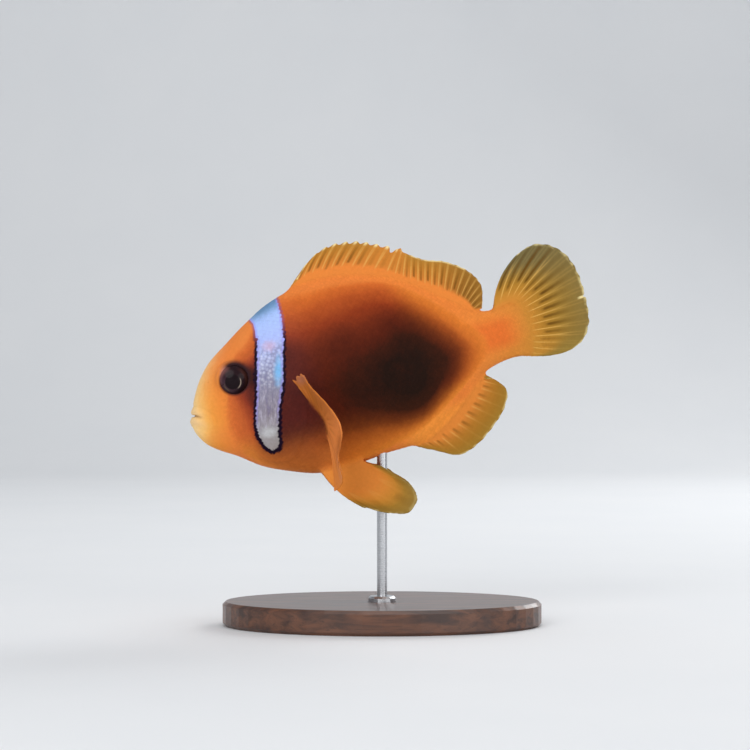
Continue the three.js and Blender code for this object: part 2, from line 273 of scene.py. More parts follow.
# For each fin: its sheet; how many hard spines, which come first, and how many soft rays; the
# spines' share of it; its thickness at the root; the share of its height that scales cover; where
# its margin is nicked, by ray, half-width in rays and depth; its row of FIN_COLOURS; how dark it is
# between its rays, where between them, and from how far out; how far out this dark and the pale
# lines along its rays go; how far those lines part; and how pale its margin is.
# The dark between the rays is partly painted shade beside each ray, and the pale margin is painted
# rim light.
FIN_KEYS = (
    "sheet", "rays", "split", "flesh", "sheath", "notches", "kind", "streak", "lean", "start",
    "run", "fork", "edge",
)
FIN_ROWS = {
    "dorsal": (flat_sheet(DORSAL_SHAPE, ripple(0.5, 3)), (10, 17), 0.52, 2.1, 0.34,
               ((9.55, 0.25, 0.1), (10.6, 0.35, -0.07)), 0, 0.72, 0.42, -0.06, 1.5, 0.06, 0.7),
    "anal": (flat_sheet(ANAL_SHAPE, ripple(0.4, 1.5)), (2, 13), 0.12, 2.1, 0.36,
             ((14, 1.8, 1),), 1, 0.6, 0.36, -0.14, 0.75, 0, 0.5),
    "tail": (flat_sheet(TAIL_SHAPE, ripple(0.9, 2.5)), (0, 17), 0, 2.1, 0.12,
             ((8.7, 0.07, 0.04),), 2, 1, 0.5, 0.08, 0.9, 0.15, 0.5),
}
for _word, _side in SIDES:
    FIN_ROWS["pectoral_" + _word] = (
        pectoral_sheet(_side), (0, 18), 0, 1.3, 0.1,
        ((0.5, 0.3, 0.1), (1.5, 0.3, 0.05), (2.5, 0.3, 0.09)), 3, 0.2, 0.5, 0.05, 1, 0.17, 0)
    FIN_ROWS["pelvic_" + _word] = (
        pelvic_sheet(_side), (1, 5), 0.1, 1.3, 0.5, ((4.1, 0.25, 0.08),),
        4, 0.25, 0.5, 0.3, 0.8, 0.17, 0.2)
FINS = {name: dict(zip(FIN_KEYS, row)) for name, row in FIN_ROWS.items()}
WEB = 0.4  # thickness of the web between rays
RIDGE = 0.11  # how much thicker a ray is


def ray_phase(fin, u):
    """Which ray a share u along the fin is at: whole numbers are rays. The spines come first."""
    hard, soft = fin["rays"]
    split = fin["split"]
    front = (u / split) * hard if hard else 0 * u
    return np.where(u < split, front, hard + (u - split) / (1 - split) * (soft - 1))


def ray_off(fin, u):
    """How far from the nearest ray a share u along the fin is, in rays."""
    phase = ray_phase(fin, u)
    return np.abs(phase - np.round(phase))


def ray_height(fin, u, v):
    """1 on a ray and 0 on the web. Soft rays branch twice on their way out."""
    off = ray_off(fin, u)
    hard = smooth(fin["split"] + 0.01, fin["split"] - 0.01, u) if fin["rays"][0] else 0 * u
    spine = bell(off, 0.13) * (1 - 0.4 * v)
    fork = np.abs(off - 0.17 * smooth(0.4, 0.8, v))
    twig = np.abs(fork - 0.08 * smooth(0.7, 1, v))
    soft = bell(twig, lerp(0.16, 0.07, v)) * (1 - 0.25 * v)
    return lerp(soft, spine, hard)


def fin_thickness(fin, u, v):
    root = fin["flesh"] * np.maximum(1 - 1.6 * v, 0) ** 2
    edge = np.sqrt(np.clip(1 - ((v - 0.93) / 0.09) ** 2 * (v > 0.93), 0.05, 1))
    return (WEB + RIDGE * ray_height(fin, u, v) * np.minimum(3 * v, 1)) * edge + root


def fin_reach(fin, u):
    """How far out the web reaches: it dips between rays, more between spines."""
    off = ray_off(fin, u)
    hard = (u < fin["split"]).astype(float)
    reach = 1.01 - lerp(0.012, 0.065, hard) * np.sin(np.pi * off) ** 2
    for ray, width, depth in fin["notches"]:
        reach -= depth * bell(ray_phase(fin, u) - ray, width)
    return reach


def sheet_normal(sheet, u, v, step=1e-3):
    u, v = np.clip(u, step, 1 - step), np.clip(v, step, 1 - step)
    along = sheet(u + step, v) - sheet(u - step, v)
    out = sheet(u, v + step) - sheet(u, v - step)
    return unit(np.cross(along, out))


def share_grid(columns, rows, reach=1):
    """A grid over a fin: shares along it and out of it, the points' numbers, and the quads."""
    along, out = np.linspace(0, 1, columns + 1), np.linspace(0, reach, rows + 1)
    u, v = np.meshgrid(along, out, indexing="ij")
    grid = np.arange(u.size).reshape(u.shape)
    quads = np.stack([grid[:-1, :-1], grid[1:, :-1], grid[1:, 1:], grid[:-1, 1:]], -1)
    return u, v, grid, quads.reshape(-1, 4)


def fin_mesh(fin):
    """A fin as one closed mesh of quads: both faces and the rim round them."""
    u, v, grid, face = share_grid(14 * sum(fin["rays"]), 72)
    out = v * fin_reach(fin, u)
    middle = fin["sheet"](u, out)
    half = sheet_normal(fin["sheet"], u, out) * fin_thickness(fin, u, v)[..., None] / 2
    rim = np.concatenate([grid[:, 0], grid[-1, 1:], grid[-2::-1, -1], grid[0, -2:0:-1]])
    turn = np.roll(rim, -1)
    band = np.stack([rim, rim + u.size, turn + u.size, turn], -1)
    points = np.concatenate([(middle + half).reshape(-1, 3), (middle - half).reshape(-1, 3)])
    return points, np.concatenate([face, face[:, ::-1] + u.size, band])


# ---- Skin: one shape pressed together from distances ----
def fillet(old, new, blend):
    """Joins two distances, with a fillet about as wide as blend."""
    share = np.clip(0.5 + (old - new) / (2 * blend), 0, 1)
    return lerp(old, new, share) - blend * share * (1 - share)


def cell(corner, rounding=np.floor):
    """The cell of the skin's grid that a corner is in."""
    return rounding(np.asarray(corner) / VOXEL).astype(int)


class Clay:
    """A block of distances, in millimetres, that closed meshes are pressed onto."""

    def __init__(self, low, high):
        self.first = cell(low)
        self.distance = np.full(cell(high, np.ceil) - self.first, BAND, np.float32)

    def window(self, low, high):
        """The cells between two corners, and their x, y and z as arrays that broadcast."""
        start = np.maximum(cell(low) - self.first, 0)
        stop = np.minimum(cell(high, np.ceil) - self.first, self.distance.shape)
        cells = tuple(slice(a, b) for a, b in zip(start, stop))
        axes = [(np.arange(a, b) + f) * VOXEL for a, b, f in zip(start, stop, self.first)]
        return cells, np.meshgrid(*axes, indexing="ij", sparse=True)

    def press(self, points, quads, blend):
        """Joins a closed mesh on."""
        transform = openvdb.createLinearTransform(VOXEL)
        grid = openvdb.FloatGrid.createLevelSetFromPolygons(
            points.astype(np.float32), quads=quads.astype(np.uint32), transform=transform,
            halfWidth=BAND / VOXEL,
        )
        cells, _ = self.window(points.min(0) - BAND, points.max(0) + BAND)
        old = self.distance[cells]
        new = np.empty(old.shape, np.float32)
        start = self.first + [c.start for c in cells]
        grid.copyToArray(new, ijk=tuple(int(i) for i in start))
        far = np.minimum(old, new) >= BAND * 0.999
        joined = np.where(far, BAND, fillet(old, new, blend))
        self.distance[cells] = np.clip(joined, -BAND, BAND)

    def mesh(self):
        """The surface as points and quads that face out."""
        grid = openvdb.FloatGrid(BAND)
        grid.transform = openvdb.createLinearTransform(VOXEL)
        grid.copyFromArray(self.distance, ijk=tuple(int(i) for i in self.first), tolerance=1e-5)
        points, quads = grid.convertToQuads()
        return points.astype(float), quads[:, ::-1].astype(int)

    def sample(self, points):
        """The distance at each of a list of points."""
        place = np.asarray(points) / VOXEL - self.first
        index = np.clip(np.floor(place).astype(int), 0, np.array(self.distance.shape) - 2)
        w = np.clip(place - index, 0, 1)
        total = 0
        for corner in itertools.product((0, 1), repeat=3):
            part = self.distance[tuple((index + corner).T)]
            for share, far in zip(w.T, corner):
                part = part * (share if far else 1 - share)
            total = total + part
        return total


# Boxes of the level frame: all of the skin, the bare body, and the head.
SKIN_BOX = (-3, -28.5, -39.5), (102.5, 28.5, 32)
BODY_BOX = (-3, -11, -26), (88, 11, 26)
HEAD_BOX = (-2.4, -11, -24), (31, 11, 22)
FIN_FILLET, LID_FILLET = 0.9, 0.6

# Lines of the head in the side view.
MOUTH = [(-1.6, 0.25), (0.2, 0.1), (1.2, -0.15), (2.6, -1), (4.5, -2.75)]
UPPER_LIP = [(0.2, 1.15), (1.3, 0.8), (2.9, -0.25), (4.7, -1.95)]
LOWER_LIP = [(-0.7, -1.2), (0.6, -1.5), (2.4, -2.25), (4.2, -3.5)]
LIP_FOLD = [(0.9, 2.5), (2.4, 1.7), (4.2, 0.2), (5.6, -1.6), (5.5, -3.4)]
CHIN_FOLD = [(-0.5, -3), (1.4, -3.5), (3.4, -4.4), (5.2, -4.6)]
NOSTRIL = {"x": 6.4, "z": 6.7, "radius": 0.25, "depth": 0.12}
GILL_COVER = [
    (21, 11.6), (24.6, 9.8), (27, 6.2), (28.6, 1), (28.4, -4.5), (26.8, -9.5), (24, -13.8),
    (20.2, -17.2), (14, -15), (12, -8), (14, 4), (17, 10),
]
CHEEK_PLATE = [
    (17.4, 9.2), (18.6, 5), (18.9, 0), (18.2, -5), (16.4, -9.2), (13, -11.8), (8.6, -11.2), (7, -7),
    (8, -2), (12, 4),
]
SUBORBITAL = [(7.6, 4), (8.4, 1.6), (10.6, 0.4), (13.4, 0.6), (16, 2.4)]


def off_ring(x, z, ring):
    """Distance in the side view to a circle, negative inside it."""
    return np.hypot(x - ring["x"], z - ring["z"]) - ring["radius"]


def head_relief(x, z):
    """How far lips, folds and plates of the head stand out, in millimetres, in the side view."""
    upper, upper_share = line_distance(x, z, UPPER_LIP)
    lower, lower_share = line_distance(x, z, LOWER_LIP)
    lips = 0.3 * bell(upper, 0.62) * smooth(0.95, 0.3, upper_share)
    lips += 0.32 * bell(lower, 0.7) * smooth(0.95, 0.3, lower_share)
    fold, chin, below = (line_distance(x, z, line)[0] for line in (LIP_FOLD, CHIN_FOLD, SUBORBITAL))
    folds = -0.14 * bell(fold, 0.3) - 0.08 * bell(chin, 0.4)
    cover = inside_distance(x, z, round_outline(GILL_COVER))
    plate = inside_distance(x, z, round_outline(CHEEK_PLATE))
    raised = 0.16 * smooth(-0.45, 0.45, cover) * np.exp(-np.maximum(cover, 0) / 4)
    raised += 0.08 * smooth(-0.4, 0.4, plate) * np.exp(-np.maximum(plate, 0) / 3)
    hole = 0.07 * bell(off_ring(x, z, NOSTRIL) - 0.12, 0.16)
    return lips + folds + raised + hole - 0.06 * bell(below, 0.3)


def carve_head(clay):
    """Adds the head's relief, and cuts the mouth, the nostrils and the eye sockets."""
    cells, (x, y, z) = clay.window(*HEAD_BOX)
    skin = clay.distance[cells]
    near = np.abs(skin) < BAND
    side_x, side_z = x + 0 * z, z + 0 * x
    skin = np.where(near, skin - head_relief(side_x, side_z), skin)
    mouth, along = line_distance(side_x, side_z, MOUTH)
    half = lerp(0.38, 0.05, smooth(0.1, 0.6, along))
    depth = lerp(0.9, 0.03, smooth(0.35, 0.8, along))  # the mouth ends in a shallow crease
    skin = np.maximum(skin, -np.maximum(mouth - half, -(skin + depth)))
    pit = off_ring(side_x, side_z, NOSTRIL)
    skin = np.maximum(skin, -np.maximum(pit, -(skin + NOSTRIL["depth"])))
    clay.distance[cells] = np.clip(open_eyes(skin, x, y, z), -BAND, BAND)


def open_eyes(skin, x, y, z):
    """Draws the skin over each eyeball's rim as a low lid, and opens it in front of the eye."""
    across = ((x - EYE["x"]) ** 2 + (z - EYE["z"]) ** 2) / EYE["radius"] ** 2
    ball = (np.sqrt(across + ((np.abs(y) - EYE["y"]) / EYE["depth"]) ** 2) - 1) * EYE["depth"]
    skin = fillet(skin, ball - ORBIT["lid"], LID_FILLET)
    opening = np.maximum(off_ring(x, z, ORBIT), EYE["y"] - np.abs(y))
    return np.maximum(skin, -np.minimum(ball + 0.15, opening))


def to_skin(clay, points, steps=4):
    """Moves points along the distance's slope onto the skin, and gives them and its normals."""
    for _ in range(steps):
        slope = unit(gradient(clay, points))
        points = points - slope * clay.sample(points)[:, None]
    return points, unit(gradient(clay, points))


def gradient(clay, points):
    step = 1.5 * VOXEL
    parts = [clay.sample(points + axis) - clay.sample(points - axis) for axis in np.eye(3) * step]
    return np.stack(parts, -1)


def make_clay():
    """The whole skin's distances, and the bare body's, which tell how far out a fin has come."""
    clay, body = Clay(*SKIN_BOX), Clay(*BODY_BOX)
    clay.press(*body_mesh(-COAT), blend=0.01)
    body.distance = clay.distance[clay.window(*BODY_BOX)[0]].copy()
    for fin in FINS.values():
        clay.press(*fin_mesh(fin), FIN_FILLET)
    carve_head(clay)
    return clay, body


# ---- Fields that the paint reads ----
BAR = [
    (20.3, 25), (20.4, 18.6), (21.1, 17.2), (21.1, 15.4), (20.7, 12.9), (19.9, 10.4), (19.2, 8),
    (18, 3.9), (16.5, -0.7), (15.7, -2.6), (14.6, -6.4), (14.4, -9), (14.9, -10.9), (15.4, -12.5),
    (16.5, -13.5), (17.8, -13.3), (18.5, -12.4), (18.6, -11.2), (19.6, -8), (20.9, -4.6),
    (21.9, -2.4), (23, -0.2), (24, 2.1), (24.7, 4.6), (25.3, 6.9), (26, 9), (26.7, 10.6),
    (27, 12.5), (27.5, 14.6), (27.9, 17), (28, 19.9), (27.8, 25),
]
# The dark of the flank, as outlines inside one another, each with how dark the flank is there.
SHADE = [
    (0, [
        (28, 23.6), (36, 22.8), (42, 22.2), (48, 20.8), (54, 19), (60, 15.5), (66, 10), (71, 4.5),
        (75, -0.5), (76, -4), (74.5, -7.5), (69, -10.8), (63, -14.6), (57, -17.9), (51, -20.6),
        (45, -22.2), (36, -23.6), (24, -24), (17, -20), (11.4, -15.8), (8.2, -13.2), (6.4, -9.5),
        (6.2, -5), (7, -1), (9, 1.8), (12, 7.5), (13.6, 12), (16.5, 14), (20, 17), (24, 21.5),
    ]),
    (0.25, [
        (28, 17), (33, 17), (39, 17.5), (45, 17.9), (51, 17), (54, 15.9), (57, 13.9), (60, 11.2),
        (63, 8.3), (66, 4.4), (69, 0.2), (70.8, -4), (69.2, -8), (66.2, -10.9), (60.3, -14.5),
        (54.3, -17.9), (48, -19.1), (42, -20), (36, -20.4), (28, -22.2), (23, -21.6), (18, -18.4),
        (14.2, -15.6), (12.7, -12.4), (12.8, -7), (12.1, -1), (11.6, 1.5), (12.4, 6), (15.6, 8.8),
        (18.6, 10.4), (21.4, 12.8), (24.5, 16),
    ]),
    (0.5, [
        (28, 12), (33, 11.5), (38, 12.2), (43, 12.5), (48, 13.1), (51, 13.2), (54, 12.2),
        (57.2, 10.8), (60.3, 7.9), (63.4, 4.9), (66.4, 1.2), (68.2, -1.6), (68.8, -4.2),
        (67.1, -7.6), (63.4, -11.5), (58.4, -14.8), (54.2, -17), (48, -17.4), (42, -16.5),
        (36, -16.3), (30, -14.9), (24, -14.6), (18, -14.6), (15.2, -13.2), (14.4, -10.6),
        (14.8, -6), (14.6, -2), (13.8, 0.8), (14.4, 4), (17, 7.4), (20, 9.4), (24, 12.2),
    ]),
    (0.75, [
        (28, 8), (32, 5.8), (36, 6.4), (41, 7.8), (45, 6.4), (49, 7.4), (54, 8.5), (57, 7),
        (60, 4.4), (63, 0.2), (65.2, -2.6), (65.8, -5.2), (63.6, -9), (60, -11.3), (55, -14.9),
        (49, -15.1), (43, -13.6), (36, -12.4), (30, -10.6), (24, -10.4), (20, -10), (17.4, -8),
        (16.2, -4), (15.8, 0.5), (16.2, 4.5), (18.8, 6.8), (22, 8.6), (25.5, 9.4),
    ]),
    (0.9, [
        (39, -4), (42, -1.4), (46, 0.9), (51, 3), (54, 4), (57, 3.4), (60.4, 0.2), (62.6, -3),
        (63.2, -5.6), (61, -9), (58, -11.8), (54, -13.8), (49, -13.2), (44.5, -11.2), (40.5, -9.4),
        (38.6, -7),
    ]),
    (1, [
        (48.4, -5), (50, -1.8), (54, -1), (57, -3.5), (57.5, -6.5), (55, -9), (51, -9.5),
        (48.8, -7.6),
    ]),
]
FIN_NEAR = 1.6  # within this distance a point belongs to a fin
FIN_NUMBERS = FIN_KEYS[6:]  # the numbers of a fin that the paint reads


def shade(x, z):
    """How dark the flank's colour is, 0 to 1, in the side view."""
    depths = [inside_distance(x, z, round_outline(points, 70)) for _, points in SHADE]
    dark = np.zeros(np.shape(x))
    for (level, _), (darker, _), here, deeper in zip(SHADE, SHADE[1:], depths, depths[1:]):
        inward = np.clip(here, 0, None)
        share = inward / np.maximum(inward + np.maximum(-deeper, 0), 1e-6)
        dark = np.where(here > 0, lerp(level, darker, share), dark)
    return dark


def fin_fields(points):
    """Where on a fin each point is, by ray and by share out, and that fin's own numbers."""
    found = {key: np.zeros(len(points)) for key in ("ray", "reach", "out") + FIN_NUMBERS}
    nearest = np.full(len(points), FIN_NEAR)
    for fin in FINS.values():
        u, v, _, quads = share_grid(8 * sum(fin["rays"]), 40, 1.02)
        sheet = fin["sheet"](u, v).reshape(-1, 3)
        near = (points > sheet.min(0) - 1.5) & (points < sheet.max(0) + 1.5)
        chosen = np.flatnonzero(near.all(1))
        tree = BVHTree.FromPolygons(sheet.tolist(), quads.tolist())
        hits = zip(chosen, (tree.find_nearest(p, FIN_NEAR) for p in points[chosen].tolist()))
        kept = [(i, *hit) for i, hit in hits if hit[0] is not None and hit[3] < nearest[i]]
        if not kept:
            continue
        here, place, _, face, gap = map(list, zip(*kept))
        nearest[here] = gap
        quad = quads[face]
        corner, right, _, up = np.moveaxis(sheet[quad], 1, 0)
        step_u, step_v, off = right - corner, up - corner, np.array(place) - corner
        uu, uv, vv = dot(step_u, step_u), dot(step_u, step_v), dot(step_v, step_v)
        ou, ov = dot(off, step_u), dot(off, step_v)
        area = np.maximum(uu * vv - uv * uv, 1e-12)
        share_u = np.clip((ou * vv - ov * uv) / area, 0, 1)
        share_v = np.clip((ov * uu - ou * uv) / area, 0, 1)
        at_u, at_v = u.ravel()[quad], v.ravel()[quad]
        at_u, at_v = lerp(at_u[:, 0], at_u[:, 1], share_u), lerp(at_v[:, 0], at_v[:, 3], share_v)
        out = (at_v - fin["sheath"]) / (1 - fin["sheath"])
        own = {**fin, "ray": ray_phase(fin, at_u), "reach": at_v, "out": out}
        for key, values in found.items():
            values[here] = own[key]
    return found


def fields(points, body):
    """Every field that the paint reads, for points in the level frame."""
    x, _, z = points.T
    made = fin_fields(points)
    made["fin"] = smooth(0.25, 1.15, body.sample(points)) * (made["reach"] > 0)
    made["bar"] = np.clip(inside_distance(x, z, BAR), -6, 6)
    made["shade"] = shade(x, z)
    edge = np.linspace(-0.8, 20, 40)
    top, bottom, _ = profile(edge)
    outline = [*zip(edge[::-1], bottom[::-1]), *zip(edge[1:], top[1:])]
    # A pale edge along the head's outline, for painted highlight.
    made["snout"] = smooth(16, 3, x) * np.exp(-line_distance(x, z, outline)[0] / 1.6)
    made["crest"] = np.clip((profile(x)[0] - z) / 6, 0, 1)
    dx, dz = x - ORBIT["x"], z - ORBIT["z"]
    smudge = smooth(0, 4, dx * 0.5 + dz * 0.87)
    forward = smooth(2.2, 3.4, 0.66 * dz - 0.75 * dx)
    gap = (np.hypot(dx, dz) - 0.45 * smudge + 0.15 * forward - 3.34) / (0.9 + 0.7 * smudge)
    made["orbit"] = smooth(1, 0, gap) * (x < 22)
    made["height"] = z
    made["length"] = x
    upper, lower = (line_distance(x, z, line)[0] for line in (UPPER_LIP, LOWER_LIP))
    made["lip"] = smooth(1.4, 0.2, np.minimum(upper, lower)) * smooth(4, 0.5, x)
    # Where the mouth's crease is, for its painted shade.
    crease, along = line_distance(x, z, MOUTH)
    made["crease"] = smooth(0.5, 0.1, crease) * smooth(0.85, 0.45, along)
    return made


def add_object(name, data):
    thing = bpy.data.objects.new(name, data)
    bpy.context.scene.collection.objects.link(thing)
    return thing


def new_mesh(name, points, polygons, data=None):
    """A mesh object from points in the row's frame, with fields as point attributes."""
    mesh = bpy.data.meshes.new(name)
    mesh.vertices.add(len(points))
    mesh.vertices.foreach_set("co", np.asarray(points, np.float32).ravel())
    mesh.loops.add(polygons.size)
    mesh.loops.foreach_set("vertex_index", polygons.astype(np.int32).ravel())
    mesh.polygons.add(len(polygons))
    starts = np.arange(0, polygons.size, polygons.shape[1], dtype=np.int32)
    mesh.polygons.foreach_set("loop_start", starts)
    mesh.polygons.foreach_set("use_smooth", np.ones(len(polygons), bool))
    mesh.update(calc_edges=True)
    for key, values in (data or {}).items():
        attribute = mesh.attributes.new(key, "FLOAT", "POINT")
        attribute.data.foreach_set("value", np.asarray(values, np.float32))
    return add_object(name, mesh)


# ---- Paint ----
# Colours as a screen shows them: red, green and blue, 0 to 255. Some are painted light and shade:
# the lighter low rear belly, the pale edge of the snout, the mouth's crease, the shade behind the
# eye, the eye's sheens and highlights, the bar's darker top edge, the pectoral fin's light and
# shade, and the fins' pale margins.
COLOURS = {
    "stalk": (220, 111, 46), "vent": (240, 148, 60), "snout": (248, 216, 156),
    "lip": (236, 198, 150), "crease": (120, 62, 38), "hollow": (42, 22, 17), "orbit": (46, 26, 30),
    "veil": (180, 120, 104), "scale_edge": (200, 176, 166),
    "bar_pearl": (222, 228, 242), "bar_gap": (116, 114, 150), "bar_line": (118, 112, 150),
    "bar_streak": (196, 192, 214), "bar_blue": (122, 192, 246), "bar_rosy": (216, 178, 204),
    "bar_tip": (206, 212, 216), "bar_crest": (92, 134, 172), "bar_fringe": (158, 150, 238),
    "bar_margin": (24, 9, 30), "bar_halo": (134, 84, 128),
    "dorsal_calm": (206, 129, 52), "dorsal_rear": (138, 96, 36), "tail_top": (108, 98, 62),
    "tail_low": (192, 136, 54), "tail_low_rim": (146, 120, 54), "pectoral": (240, 142, 74),
    "pectoral_top": (196, 112, 46), "pectoral_root": (226, 134, 56), "pectoral_tip": (188, 118, 90),
    "pectoral_front": (146, 68, 36), "pectoral_rear": (164, 88, 38), "fin_streak": (98, 64, 14),
    "fin_ray": (228, 178, 94), "fin_rim": (248, 230, 166),
    "iris": (32, 18, 23), "iris_fleck": (42, 24, 28), "iris_front": (66, 44, 52),
    "iris_rear": (76, 42, 36), "iris_veil": (146, 96, 92), "pupil": (26, 15, 19),
    "crescent": (198, 178, 158), "glint": (150, 150, 84),
    "wood_dark": (52, 28, 17), "wood_light": (104, 62, 38), "wood_pore": (34, 18, 11),
    "steel_dark": (168, 170, 174), "steel_light": (206, 207, 209), "floor": (226, 228, 230),
    "floor_light": (231, 232, 233),
}
# Soft ovals in the side view: x, z, half-width, half-height, how far the top leans to the rear for
# each millimetre up, how ragged the edge is, and how strong it is where it is laid on.
SPOTS = {
    # Painted shade behind the eye, between it and the bar.
    "hollow": (17, 4.9, 1.9, 3.8, 0, 0.3, 0.75),
    # A painted sheen on the upper front of the eye's dark ring.
    "veil": (10.4, 8.5, 2, 2, 0, 0.3, 1),
    "bar_blue": (23.9, 4.4, 1.5, 4.4, 0.3, 0.5, 0.85),
    "bar_rosy": (23.4, 10.9, 2.2, 1.7, 0, 0.8, 0.55),
    "bar_tip": (17.2, -9, 2.2, 1.6, 0, 0.6, 0.7),
    "pectoral_tip": (28.6, 0.9, 1.8, 1.8, 0, 0.8, 0.9),
    # Painted shadow along the pectoral fin's front edge, and painted shade low at its rear.
    "pectoral_front": (29.5, -8.6, 1.3, 6, -0.24, 0.4, 0.8),
    "pectoral_rear": (33.1, -17.2, 1.5, 5, 0.38, 0.4, 0.8),
}
# Colours along a value from 0 to 1. Each stop is its place, red, green and blue.
GROUND = [  # by the distance from the snout, 1 for 100 mm
    # The palest stops at the snout tip are partly the head's own pale colour and partly painted
    # highlight.
    (0, 240, 196, 132), (0.02, 242, 187, 108), (0.035, 240, 173, 86), (0.052, 235, 152, 64),
    (0.078, 232, 139, 60), (0.11, 229, 128, 58), (0.17, 228, 134, 66), (0.3, 229, 129, 60),
    (0.68, 229, 130, 57), (0.78, 222, 134, 57), (0.86, 200, 132, 52), (0.91, 188, 128, 49),
]
FLANK_ABOVE = [  # by how dark the flank is
    (0, 227, 127, 55), (0.15, 206, 104, 42), (0.3, 179, 82, 34), (0.5, 139, 54, 23),
    (0.65, 107, 40, 18), (0.8, 82, 29, 13), (0.9, 56, 23, 11), (1, 33, 17, 10),
]
# Lighter and yellower than above, for the lower flank and partly towards the tail: partly the
# fish's own colour, partly painted light where the flank faces down.
FLANK_BELOW = [
    (0, 230, 138, 56), (0.15, 217, 127, 46), (0.3, 192, 106, 38), (0.5, 154, 80, 28),
    (0.65, 112, 54, 19), (0.8, 82, 36, 14), (0.9, 53, 24, 11), (1, 33, 18, 10),
]
BAR_COLOURS = [  # from the bar's tip up to the back
    (0, 158, 150, 148), (0.14, 164, 162, 166), (0.26, 143, 137, 149), (0.4, 144, 142, 162),
    (0.5, 152, 154, 180), (0.62, 176, 184, 224), (0.74, 174, 192, 250), (0.94, 170, 200, 252),
]
FIN_COLOURS = [  # of each kind of fin, from its sheath out to its margin
    [(0, 226, 132, 57), (0.2, 206, 126, 51), (0.45, 193, 123, 46), (0.75, 181, 121, 44),
     (1, 174, 124, 50)],
    [(0, 214, 129, 54), (0.2, 190, 120, 47), (0.4, 172, 114, 40), (0.7, 157, 111, 38),
     (1, 152, 116, 44)],
    [(0, 196, 132, 51), (0.12, 180, 126, 46), (0.3, 162, 118, 42), (0.5, 150, 115, 46),
     (0.75, 138, 111, 52), (1, 130, 110, 60)],
    [(0, 206, 120, 52), (1, 200, 116, 50)],
    [(0, 216, 132, 55), (0.2, 211, 134, 54), (0.45, 190, 128, 47), (0.7, 154, 115, 43),
     (1, 138, 111, 50)],
]
FRONT_LIFT = (0.004, 0.004, 0.009, 1)  # light added to the front of the flank
CALM_RAY = 9.8  # where the dorsal fin is plainer, in rays
TORN_RAY = 8.72  # where the tail fin's tip is torn, in rays


def colour(parts):
    """A colour of 0 to 255 parts, as a screen shows it, for a shader socket."""
    shares = [part / 255 for part in parts]
    linear = [s / 12.92 if s <= 0.04045 else ((s + 0.055) / 1.055) ** 2.4 for s in shares]
    return (*linear, 1)


def sum_of(operation):
    """A sum on a signal: it adds a node, and gives that node's result."""
    return lambda self, other=0.0: self.paint.math(operation, self, other)


class Signal:
    """A value or colour within a paint."""

    def __init__(self, paint, socket):
        self.paint, self.socket = paint, socket

    def __rsub__(self, other):
        return self.paint.math("SUBTRACT", other, self)

    __add__, __sub__ = sum_of("ADD"), sum_of("SUBTRACT")
    __mul__, __truediv__ = sum_of("MULTIPLY"), sum_of("DIVIDE")
    __abs__ = sum_of("ABSOLUTE")


